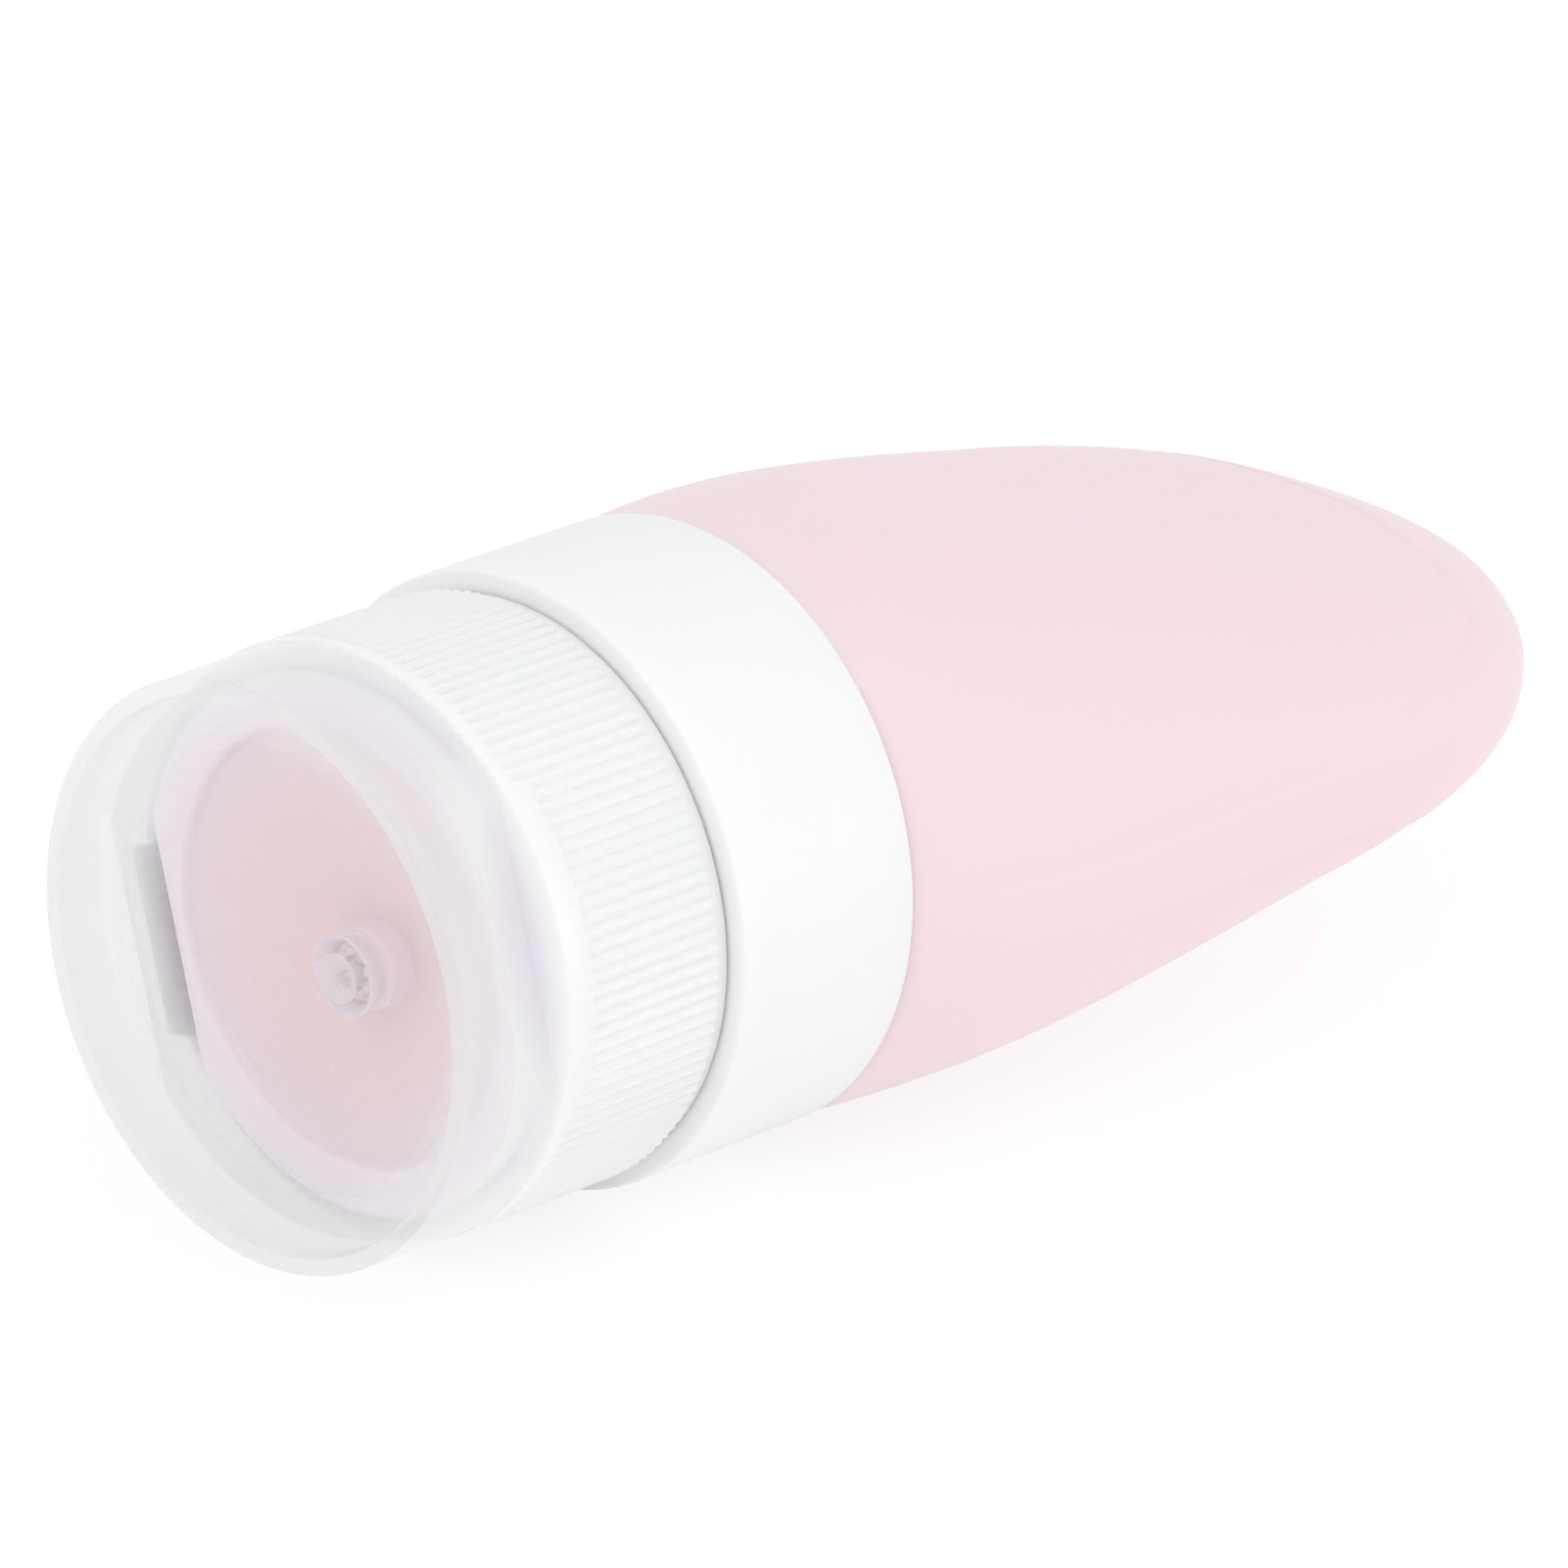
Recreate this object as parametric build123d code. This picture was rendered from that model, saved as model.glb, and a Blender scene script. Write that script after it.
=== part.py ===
from build123d import *
import os
from math import cos, pi, radians, sin, sqrt

# A soft squeeze bottle for travel, lying on its wide side.
# A hollow silicone body, round at the mouth and wedge-shaped towards the tail, is clamped in a
# hard white collar over a threaded neck. A ribbed screw cap with a clear flip lid closes it.
# Every piece is drawn about the bottle's own axis: a station is the distance along that axis from
# the rim that the lid stands on, local X points to the body's wide side, local Y to its flat side.
# All lengths are in millimetres.

# Lid: its skirt stands in from the cap's band by the step, and its rim by the draft besides
lid_step = 0.15
lid_draft = 0.15
lid_height = 8.8
lid_wall = 1.25
rim_recess_depth = 3.2
plate_thickness = 1.0
dish_round = 2.0
thumb_scoop_height = 4.8
thumb_scoop_depth = 2.8
thumb_scoop_hollow = 0.45

# Lid hinge
hinge_lift = 0.3
hinge_inset = 1.35
hinge_recess_depth = 2.5
hinge_recess_height = 4.0
knuckle_radius = 1.0
knuckle_gap = 0.2
seat_clearance = 0.35
pin_radius = 0.6
pin_clearance = 0.05
base_knuckle_width = 6.2
lid_knuckle_width = 3.1

# Screw cap base: the band's radius drives the lid, the neck and the collar
parting_gap = 0.2
band_radius = 20.3
band_height = 0.9
base_height = 13.4
cap_wall = 1.8
ledge_height = 2.1
ledge_arc = 62.0
rib_count = 130
rib_depth = 0.26
deck_rise = 1.6
deck_lid_gap = 0.45
deck_flat_gap = 0.35
deck_rim_width = 3.6
deck_well_depth = 1.0
deck_thickness = 1.4
gasket_seat_width = 5.0
gasket_seat_depth = 1.2

# Outlet, valve and their places: the outlet stands off the axis, towards the thumb scoop
outlet_forward = 3.35
outlet_aside = 1.13
outlet_height = 3.65
outlet_bore_radius = 1.2
outlet_hub_radius = 2.95
outlet_hub_height = 1.85
outlet_neck_radius = 2.3
outlet_neck_height = 0.6
outlet_lip_radius = 2.86
outlet_lip_wall = 0.4
outlet_cup_depth = 1.0
outlet_spigot_radius = 2.2
outlet_gusset_count = 4
outlet_gusset_width = 0.35
plug_pin_clearance = 0.3
plug_pin_web = 0.55
plug_pin_reach = 2.2
plug_foot_width = 0.8
plug_foot_height = 0.35
valve_flange_radius = 5.6
valve_flange_height = 0.9
valve_dome_radius = 3.0
valve_membrane_height = 0.4
valve_slit_width = 0.15
valve_slit_length = 3.0
retainer_width = 3.0
retainer_bore_radius = 3.6
retainer_height = 1.8
retainer_boss_wall = 1.1

# Neck, thread and gasket
neck_wall = 1.5
neck_flange_inset = 0.6
neck_flange_height = 1.0
neck_flange_gap = 0.15
neck_sleeve_setback = 1.8
barb_count = 3
barb_height = 0.35
barb_pitch = 3.6
thread_pitch = 4.0
thread_height = 1.15
thread_crest_gap = 0.35
thread_root_width = 1.5
thread_crest_width = 0.7
thread_lead = 2.6
neck_thread_turns = 1.3
cap_thread_turns = 1.1
thread_rooting = 0.25
gasket_thickness = 0.8
gasket_gap = 0.1
gasket_side_gap = 0.3
gasket_overhang = 0.5

# Collar: it stands proud of the cap's band by the step
collar_step = 0.9
collar_flare = 0.05
collar_gap = 0.2
collar_length = 15.55
collar_wall = 1.65
collar_lip_height = 1.2
collar_lip_reach = 1.65
edge_round = 0.3

# Silicone body: its mouth stands in from the collar's end by the step. It is a wedge: its half
# widths are the mouth's radius and a spread, and its two faces lie on a line that would stand out
# from the mouth by the lead. The sections stand above that line by the crown and are cut flat on it
body_gap = 0.1
body_reach = 74.0
mouth_step = 0.25
mouth_sleeve_gap = 0.1
mouth_sleeve_wall = 2.47
mouth_sleeve_clearance = 0.08
shoulder_spread = 3.5
belly_spread = 2.73
tail_spread = 10.1
wedge_lead = 1.61
tail_drop = 2.59
tail_half_thickness = 2.1
tail_edge_round = 3.0
body_wall = 3.0
tail_wall = 5.5
width_shares = (0, 0.3, 0.6, 1)
shoulder_share = 0.18
tail_start_share = 0.72
arch_start_share = 0.66
arch_power = 1.6
round_power = 2.0
flat_power = 2.3
full_section_share = 0.5
face_crown = 0.06
outer_section_shares = (
    0, 0.05, 0.1, 0.15, 0.2, 0.28, 0.4, 0.52, 0.64, 0.72, 0.8, 0.88, 0.94, 0.975, 0.992, 0.9995,
)
inner_section_shares = (0, 0.06, 0.13, 0.2, 0.3, 0.45, 0.6, 0.72, 0.82, 0.9, 0.96, 1)
section_points = 24
rest_steps = 400

# How the cap is clocked against the body's wide side, in degrees
cap_clock = -22.0

# One overrun serves every cut
overrun = 1.0

# Radii worked out from the band outwards and inwards
lid_skirt_radius = band_radius - lid_step
lid_rim_radius = lid_skirt_radius - lid_draft
lid_bore_radius = lid_rim_radius - lid_wall
hinge_offset = lid_skirt_radius - hinge_inset
recess_face = lid_skirt_radius - hinge_recess_depth
rear_wall_face = recess_face - lid_wall
scoop_foot = lid_skirt_radius - thumb_scoop_depth
scoop_slope = (lid_skirt_radius - scoop_foot) / thumb_scoop_height
front_wall_foot = scoop_foot - lid_wall
deck_radius = lid_bore_radius - deck_lid_gap
deck_well_radius = deck_radius - deck_rim_width
base_bore_radius = band_radius - cap_wall
gasket_seat_inner_radius = base_bore_radius - gasket_seat_width
plug_pin_radius = outlet_bore_radius - plug_pin_clearance
plug_foot_radius = plug_pin_radius + plug_foot_width
retainer_radius = retainer_bore_radius + retainer_width
neck_radius = base_bore_radius - thread_height - thread_crest_gap
neck_bore_radius = neck_radius - neck_wall
neck_flange_radius = band_radius - neck_flange_inset
gasket_outer_radius = base_bore_radius - gasket_side_gap
gasket_inner_radius = neck_bore_radius - gasket_overhang
collar_start_radius = band_radius + collar_step
collar_end_radius = collar_start_radius + collar_flare
collar_bore_radius = collar_start_radius - collar_wall
collar_lip_bore_radius = collar_bore_radius - collar_lip_reach
body_mouth_radius = collar_end_radius - mouth_step
mouth_sleeve_radius = collar_bore_radius - mouth_sleeve_gap
neck_sleeve_radius = mouth_sleeve_radius - mouth_sleeve_wall - mouth_sleeve_clearance
seat_radius = knuckle_radius + seat_clearance

# Stations worked out from the rim towards the tail
plate_end_station = rim_recess_depth + plate_thickness
scoop_top_station = lid_height - thumb_scoop_height
base_start_station = lid_height + parting_gap
base_end_station = base_start_station + base_height
hinge_station = base_start_station - hinge_lift
deck_top_station = base_start_station - deck_rise
deck_well_station = deck_top_station + deck_well_depth
deck_roof_station = deck_well_station + deck_thickness
outlet_top_station = deck_well_station - outlet_height
gasket_seat_station = deck_roof_station + gasket_seat_depth
neck_rim_station = gasket_seat_station + gasket_thickness + 2 * gasket_gap
thread_start_station = neck_rim_station + thread_lead
neck_flange_station = base_end_station + neck_flange_gap
collar_start_station = neck_flange_station + neck_flange_height + collar_gap
collar_end_station = collar_start_station + collar_length
neck_sleeve_end_station = collar_end_station - neck_sleeve_setback
mouth_start_station = collar_start_station + collar_lip_height + body_gap
body_start_station = collar_end_station + body_gap
tail_station = body_start_station + body_reach

# Lengths and places worked out from the sizes above
body_length = body_reach / outer_section_shares[-1]
body_half_widths = (
    body_mouth_radius,
    body_mouth_radius + shoulder_spread,
    body_mouth_radius + belly_spread,
    body_mouth_radius + tail_spread,
)
wedge_fall = body_mouth_radius + wedge_lead - tail_drop - tail_half_thickness
pin_length = base_knuckle_width + 2 * (knuckle_gap + lid_knuckle_width)
outlet_place = (-outlet_forward, -outlet_aside)


def turned(outline):
    """A solid of revolution about the bottle's axis, from (radius, station) points."""
    ring = Wire.make_polygon([Vector(radius, 0, station) for radius, station in outline])
    return revolve(Face(ring), Axis.Z)


def disc(radius, start, end, place=(0, 0)):
    """A round bar along the axis between two stations."""
    bar = Cylinder(radius, end - start, align=(Align.CENTER, Align.CENTER, Align.MIN))
    return Pos(place[0], place[1], start) * bar


def block(x_range, y_range, station_range):
    """A square-cornered block between two corners."""
    sizes = [high - low for low, high in (x_range, y_range, station_range)]
    centre = [(low + high) / 2 for low, high in (x_range, y_range, station_range)]
    return Pos(*centre) * Box(*sizes)


def cross_bar(radius, width, centre_y=0):
    """A round bar on the hinge line, across the bottle."""
    return Pos(hinge_offset, centre_y, hinge_station) * Rot(90, 0, 0) * Cylinder(radius, width)


def across(outline, width):
    """A prism whose outline lies in the plane of X and the axis, centred on that plane."""
    face = Face(Wire([edge for edge in outline]))
    return extrude(face, width / 2, dir=(0, 1, 0), both=True)


def joined(points):
    """Straight edges around a closed outline of (x, station) points."""
    corners = [Vector(x, 0, station) for x, station in points]
    return Wire.make_polygon(corners).edges()


def through(shares, sizes, share):
    """The smooth curve through the given sizes, read at one share of the way."""
    total = 0
    for index, size in enumerate(sizes):
        weight = 1
        for other, other_share in enumerate(shares):
            if other != index:
                weight *= (share - other_share) / (shares[index] - other_share)
        total += weight * size
    return total


def one_solid(shape, name):
    """Checks that a piece came out as a single solid, and hands it back."""
    solids = shape.solids()
    if len(solids) != 1:
        raise ValueError(f"{name} has {len(solids)} solids")
    return solids[0]


def make_lid():
    """The clear lid: a standing rim, a closure plate, a thumb scoop in front, a recess behind."""
    shell = turned([
        (0, rim_recess_depth),
        (lid_bore_radius, rim_recess_depth),
        (lid_bore_radius, 0),
        (lid_rim_radius, 0),
        (lid_skirt_radius, lid_height),
        (lid_bore_radius, lid_height),
        (lid_bore_radius, plate_end_station),
        (0, plate_end_station),
    ])
    dish_corner = [
        edge
        for edge in shell.edges().filter_by(GeomType.CIRCLE)
        if abs(edge.radius - lid_bore_radius) < lid_wall / 10
        and abs(edge.center().Z - rim_recess_depth) < plate_thickness / 10
    ]
    shell = fillet(dish_corner, dish_round)
    plug_of_skirt = disc(lid_bore_radius + lid_wall / 2, plate_end_station, lid_height)
    rise = lid_height - rim_recess_depth
    front_face = -front_wall_foot - rise * scoop_slope
    beyond = -lid_skirt_radius - overrun
    front_wall = plug_of_skirt & across(joined([
        (front_face, rim_recess_depth),
        (-front_wall_foot, lid_height),
        (beyond, lid_height),
        (beyond, rim_recess_depth),
    ]), 2 * lid_skirt_radius)
    rear_reach = (rear_wall_face, lid_skirt_radius)
    full_width = (-lid_skirt_radius, lid_skirt_radius)
    rear_wall = plug_of_skirt & block(rear_reach, full_width, (rim_recess_depth, lid_height))
    lid = shell + front_wall + rear_wall
    lid -= thumb_scoop()
    lid -= block(
        (recess_face, lid_skirt_radius + overrun),
        full_width,
        (lid_height - hinge_recess_height, lid_height + overrun),
    )
    for side in (-1, 1):
        lid += lid_arm(side)
    lid -= cross_bar(pin_radius + pin_clearance, pin_length + 2 * overrun)
    return one_solid(lid, "flip_lid")


def thumb_scoop():
    """The hollowed slope that a thumb pushes up, cut from the front of the skirt."""
    top = Vector(-lid_skirt_radius - overrun * scoop_slope, 0, scoop_top_station - overrun)
    foot = Vector(-scoop_foot + overrun * scoop_slope, 0, lid_height + overrun)
    middle = (top + foot) / 2 + Vector(thumb_scoop_hollow, 0, 0)
    far_foot = Vector(-2 * lid_skirt_radius, 0, lid_height + overrun)
    far_top = Vector(-2 * lid_skirt_radius, 0, scoop_top_station - overrun)
    outline = [
        Edge.make_three_point_arc(top, middle, foot),
        Edge.make_line(foot, far_foot),
        Edge.make_line(far_foot, far_top),
        Edge.make_line(far_top, top),
    ]
    return across(outline, 2 * lid_skirt_radius)


def lid_arm(side):
    """One hinge knuckle of the lid, with the arm that ties it to the recess."""
    centre_y = side * (pin_length - lid_knuckle_width) / 2
    arm = block(
        (recess_face - lid_wall / 2, hinge_offset),
        (centre_y - lid_knuckle_width / 2, centre_y + lid_knuckle_width / 2),
        (hinge_station - knuckle_radius, hinge_station),
    )
    return arm + cross_bar(knuckle_radius, lid_knuckle_width, centre_y)


def make_plug():
    """The cross-shaped stopper under the closure plate, which stands in the outlet."""
    foot_end = plate_end_station + plug_foot_height
    tip = outlet_top_station + plug_pin_reach
    foot = disc(plug_foot_radius, plate_end_station, foot_end, outlet_place)
    pin = disc(plug_pin_radius, plate_end_station, tip, outlet_place)
    half = plug_pin_web / 2
    x, y = outlet_place
    reach = plug_pin_radius + overrun
    stations = (plate_end_station, tip)
    webs = block((x - reach, x + reach), (y - half, y + half), stations)
    webs += block((x - half, x + half), (y - reach, y + reach), stations)
    return one_solid(foot + (pin & webs), "lid_plug")


def make_hinge_pin():
    """The pin that the lid turns on."""
    return one_solid(cross_bar(pin_radius, pin_length), "hinge_pin")


def rib_prism():
    """The fine V-shaped ribs around the cap, from the plain band to the cap's end."""
    step = 180 / rib_count
    corners = []
    for index in range(2 * rib_count):
        radius = band_radius - rib_depth * (index % 2)
        angle = radians(step * index)
        corners.append(Vector(radius * cos(angle), radius * sin(angle), base_start_station))
    star = Face(Wire.make_polygon(corners))
    return extrude(star, base_end_station - base_start_station, dir=(0, 0, 1))


def make_base():
    """The ribbed screw cap: raised deck, outlet seat, valve boss, gasket seat and thread."""
    core = rib_prism() + disc(band_radius, base_start_station, base_start_station + band_height)
    core += front_ledge()
    raised = disc(deck_radius, deck_top_station, base_start_station)
    raised &= block(
        (-front_wall_foot + deck_flat_gap, rear_wall_face - deck_flat_gap),
        (-deck_radius, deck_radius),
        (deck_top_station, base_start_station),
    )
    raised -= disc(deck_well_radius, deck_top_station, deck_well_station)
    core -= disc(deck_well_radius, base_start_station - overrun, deck_well_station)
    base = core + raised
    base -= turned([
        (0, deck_roof_station),
        (gasket_seat_inner_radius, deck_roof_station),
        (gasket_seat_inner_radius, gasket_seat_station),
        (base_bore_radius, gasket_seat_station),
        (base_bore_radius, base_end_station + overrun),
        (0, base_end_station + overrun),
    ])
    boss_radius = retainer_radius + retainer_boss_wall
    boss_end = deck_roof_station + valve_flange_height + retainer_height
    boss = disc(boss_radius, deck_roof_station - deck_thickness / 2, boss_end, outlet_place)
    boss -= disc(retainer_radius, deck_roof_station, boss_end + overrun, outlet_place)
    base += boss
    base -= disc(outlet_spigot_radius, deck_top_station, boss_end, outlet_place)
    base -= hinge_seat()
    base += base_knuckle()
    base -= cross_bar(pin_radius + pin_clearance, base_knuckle_width + 2 * overrun)
    base += thread_ridge(base_bore_radius, -1, cap_thread_turns, thread_pitch / 2)
    return one_solid(base, "cap_base")


def front_ledge():
    """The plain ledge under the thumb scoop, where the ribs start further down."""
    ledge = disc(band_radius, base_start_station, base_start_station + ledge_height)
    half_chord = band_radius * sin(radians(ledge_arc / 2))
    return ledge & block(
        (-band_radius, 0),
        (-half_chord, half_chord),
        (base_start_station, base_start_station + ledge_height),
    )


def hinge_seat():
    """The seat in the cap's shoulder that the lid's knuckles turn in, open to the rear."""
    width = pin_length + 2 * seat_clearance
    way_out = block(
        (hinge_offset, band_radius + overrun),
        (-width / 2, width / 2),
        (hinge_station, hinge_station + seat_radius),
    )
    return cross_bar(seat_radius, width) + way_out


def base_knuckle():
    """The cap's own hinge knuckle, with its web down to the shoulder."""
    half = base_knuckle_width / 2
    web = block(
        (hinge_offset - knuckle_radius, hinge_offset + knuckle_radius),
        (-half, half),
        (hinge_station, hinge_station + seat_radius + seat_clearance),
    )
    return cross_bar(knuckle_radius, base_knuckle_width) + web


def thread_ridge(wall_radius, side, turns, offset):
    """A right-handed thread ridge on a round wall: side is 1 outwards and -1 inwards."""
    start = thread_start_station + offset
    path_radius = wall_radius - side * thread_rooting
    path = Helix(thread_pitch, thread_pitch * turns, path_radius, center=(0, 0, start))
    root = thread_root_width / 2
    crest = thread_crest_width / 2
    reach = side * (thread_height + thread_rooting)
    corners = [(0, -root), (reach, -crest), (reach, crest), (0, root)]
    section = Face(Wire.make_polygon([
        Vector(path_radius + radial, 0, start + along) for radial, along in corners
    ]))
    return sweep(section, path=path, is_frenet=True)


def make_outlet():
    """The clear outlet: a hub on the deck, a neck and a thin flared lip with four gussets."""
    hub_end = deck_well_station - outlet_hub_height
    neck_end = hub_end - outlet_neck_height
    cup_floor = outlet_top_station + outlet_cup_depth
    spigot_end = deck_roof_station
    outlet = turned([
        (outlet_bore_radius, spigot_end),
        (outlet_spigot_radius, spigot_end),
        (outlet_spigot_radius, deck_well_station),
        (outlet_hub_radius, deck_well_station),
        (outlet_hub_radius, hub_end),
        (outlet_neck_radius, hub_end),
        (outlet_neck_radius, neck_end),
        (outlet_lip_radius, outlet_top_station),
        (outlet_lip_radius - outlet_lip_wall, outlet_top_station),
        (outlet_neck_radius - outlet_lip_wall, cup_floor),
        (outlet_bore_radius, cup_floor),
    ])
    cup = turned([
        (0, cup_floor),
        (outlet_neck_radius - outlet_lip_wall / 2, cup_floor),
        (outlet_lip_radius - outlet_lip_wall / 2, outlet_top_station + outlet_lip_wall),
        (0, outlet_top_station + outlet_lip_wall),
    ])
    arm = block(
        (0, outlet_lip_radius),
        (-outlet_gusset_width / 2, outlet_gusset_width / 2),
        (outlet_top_station, cup_floor),
    )
    for index in range(outlet_gusset_count):
        angle = 360 / outlet_gusset_count * (index + 0.5)
        gusset = (Rot(0, 0, angle) * arm) & cup
        outlet += gusset - disc(outlet_bore_radius, outlet_top_station, cup_floor)
    return one_solid(Pos(*outlet_place, 0) * outlet, "outlet_nozzle")


def make_valve():
    """The silicone valve under the deck: a flange and a thin dome with two crossed slits."""
    flange_end = deck_roof_station + valve_flange_height
    membrane_end = deck_roof_station + valve_membrane_height
    valve = disc(valve_flange_radius, deck_roof_station, flange_end)
    valve -= disc(valve_dome_radius, membrane_end, flange_end)
    half_width = valve_slit_width / 2
    half_length = valve_slit_length / 2
    stations = (deck_roof_station - overrun, flange_end + overrun)
    valve -= block((-half_length, half_length), (-half_width, half_width), stations)
    valve -= block((-half_width, half_width), (-half_length, half_length), stations)
    return one_solid(Pos(*outlet_place, 0) * valve, "slit_valve")


def make_retainer():
    """The ring pressed into the boss that holds the valve up against the deck."""
    start = deck_roof_station + valve_flange_height
    ring = disc(retainer_radius, start, start + retainer_height)
    ring -= disc(retainer_bore_radius, start, start + retainer_height)
    return one_solid(Pos(*outlet_place, 0) * ring, "valve_retainer")


def make_gasket():
    """The flat ring that seals the cap on the neck's rim."""
    start = gasket_seat_station + gasket_gap
    ring = disc(gasket_outer_radius, start, start + gasket_thickness)
    return one_solid(ring - disc(gasket_inner_radius, start, start + gasket_thickness), "gasket")


def make_neck():
    """The hard neck: threaded above its flange, with barbs below that grip the silicone."""
    flange_end = neck_flange_station + neck_flange_height
    outline = [
        (neck_bore_radius, neck_rim_station),
        (neck_radius, neck_rim_station),
        (neck_radius, neck_flange_station),
        (neck_flange_radius, neck_flange_station),
        (neck_flange_radius, flange_end),
        (neck_sleeve_radius, flange_end),
    ]
    first_barb = mouth_start_station + barb_pitch / 2
    for index in range(barb_count):
        station = first_barb + index * barb_pitch
        outline.append((neck_sleeve_radius, station))
        outline.append((neck_sleeve_radius + barb_height, station))
        outline.append((neck_sleeve_radius, station + barb_pitch / 2))
    outline.append((neck_sleeve_radius, neck_sleeve_end_station))
    outline.append((neck_bore_radius, neck_sleeve_end_station))
    neck = turned(outline) + thread_ridge(neck_radius, 1, neck_thread_turns, 0)
    return one_solid(neck, "neck_insert")


def make_collar():
    """The hard white collar, with a lip that hooks over the silicone's mouth."""
    lip_end = collar_start_station + collar_lip_height
    collar = turned([
        (collar_lip_bore_radius, collar_start_station),
        (collar_start_radius, collar_start_station),
        (collar_end_radius, collar_end_station),
        (collar_bore_radius, collar_end_station),
        (collar_bore_radius, lip_end),
        (collar_lip_bore_radius, lip_end),
    ])
    rims = collar.edges().filter_by(GeomType.CIRCLE).sort_by(SortBy.RADIUS)[-2:]
    return one_solid(fillet(rims, edge_round), "collar_ring")


def body_half_sizes(share):
    """The body's outer half width and half thickness at a share of its length."""
    half_width = through(width_shares, body_half_widths, share)
    if share > arch_start_share:
        arch = (share - arch_start_share) / (1 - arch_start_share)
        half_width *= (1 - arch ** arch_power) ** (1 / arch_power)
    half_thickness = face_line(share) - wedge_lead * max(0, 1 - share / shoulder_share) ** 2
    past_flat = max(0, share - tail_start_share) / (1 - tail_start_share)
    half_thickness -= tail_drop * past_flat ** 2
    from_tail = (1 - share) * body_length / tail_edge_round
    if from_tail < 1:
        half_thickness *= sqrt(1 - (1 - from_tail) ** 2)
    return half_width, half_thickness


def face_line(share):
    """How far a flat face lies from the axis at a share of the body's length."""
    return body_mouth_radius + wedge_lead - wedge_fall * share


def body_section(share, inset, crown):
    """One closed section of the body, drawn in by the inset: round at the mouth, fuller later."""
    half_width, half_thickness = body_half_sizes(share)
    fullness = min(1, share / full_section_share)
    fullness *= fullness * (3 - 2 * fullness)
    power = round_power + (flat_power - round_power) * fullness
    half_thickness *= 1 + crown * fullness
    station = body_start_station + share * body_length
    points = []
    for index in range(section_points):
        angle = 2 * pi * index / section_points
        x, y = cos(angle), sin(angle)
        swell = (abs(x) ** power + abs(y) ** power) ** (-1 / power)
        wide = (half_width - inset) * swell * x
        thick = (half_thickness - inset) * swell * y
        points.append(Vector(wide, thick, station))
    even_steps = [index / section_points for index in range(section_points + 1)]
    return Face(Wire([Edge.make_spline(points, periodic=True, parameters=even_steps)]))


def make_body():
    """The hollow silicone body, with the mouth sleeve that the collar clamps on the neck."""
    outer = loft([body_section(share, 0, face_crown) for share in outer_section_shares])
    corners = [
        Vector(0, side * face_line(share), body_start_station + share * body_length)
        for side, share in ((1, 0), (1, 1), (-1, 1), (-1, 0))
    ]
    side_view = Face(Wire.make_polygon(corners))
    outer &= extrude(side_view, 2 * body_mouth_radius, dir=(1, 0, 0), both=True)
    cavity_share = (body_length - tail_wall) / body_length
    cavity = loft([
        body_section(share * cavity_share, body_wall, 0) for share in inner_section_shares
    ])
    bore_radius = neck_sleeve_radius + mouth_sleeve_clearance
    shelf_end = body_start_station + body_wall
    mouth = disc(mouth_sleeve_radius, mouth_start_station, shelf_end)
    cavity_cut = cavity & disc(2 * body_mouth_radius, shelf_end, tail_station)
    body = outer + mouth - cavity_cut
    body -= disc(bore_radius, mouth_start_station - overrun, shelf_end + overrun)
    for index in range(barb_count):
        body -= barb_groove(index)
    print(f"capacity of the cavity: {cavity_cut.volume / 1000:.1f} ml")
    return one_solid(body, "silicone_body")


def barb_groove(index):
    """The groove that one of the neck's barbs presses into the mouth sleeve."""
    start = mouth_start_station + barb_pitch / 2 + index * barb_pitch
    root = neck_sleeve_radius
    gap = mouth_sleeve_clearance
    return turned([
        (root, start - gap),
        (root + barb_height + gap, start - gap),
        (root + barb_height + gap, start + gap),
        (root + gap, start + barb_pitch / 2 + gap),
        (root, start + barb_pitch / 2 + gap),
    ])


# The bottle lies along X with its tail at +X, on the fullest round or flat side that it has
body_rest_height = max(body_half_sizes(step / rest_steps)[1] for step in range(rest_steps))
rest_height = max(body_rest_height, collar_start_radius, collar_end_radius)
lying = Plane(
    origin=(-tail_station / 2, 0, rest_height), x_dir=(0, 1, 0), z_dir=(1, 0, 0)
).location
clocked = Rot(0, 0, cap_clock)

body_pieces = {
    "silicone_body": make_body(),
    "collar_ring": make_collar(),
    "neck_insert": make_neck(),
}
cap_pieces = {
    "sealing_gasket": make_gasket(),
    "cap_base": make_base(),
    "outlet_nozzle": make_outlet(),
    "slit_valve": make_valve(),
    "valve_retainer": make_retainer(),
    "flip_lid": make_lid(),
    "lid_plug": make_plug(),
    "hinge_pin": make_hinge_pin(),
}

os.makedirs("parts", exist_ok=True)
for name, piece in body_pieces.items():
    export_step(lying * piece, f"parts/{name}.step")
for name, piece in cap_pieces.items():
    export_step(lying * clocked * piece, f"parts/{name}.step")
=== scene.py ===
import math

import bmesh
import bpy
from mathutils import Matrix, Vector


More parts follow.
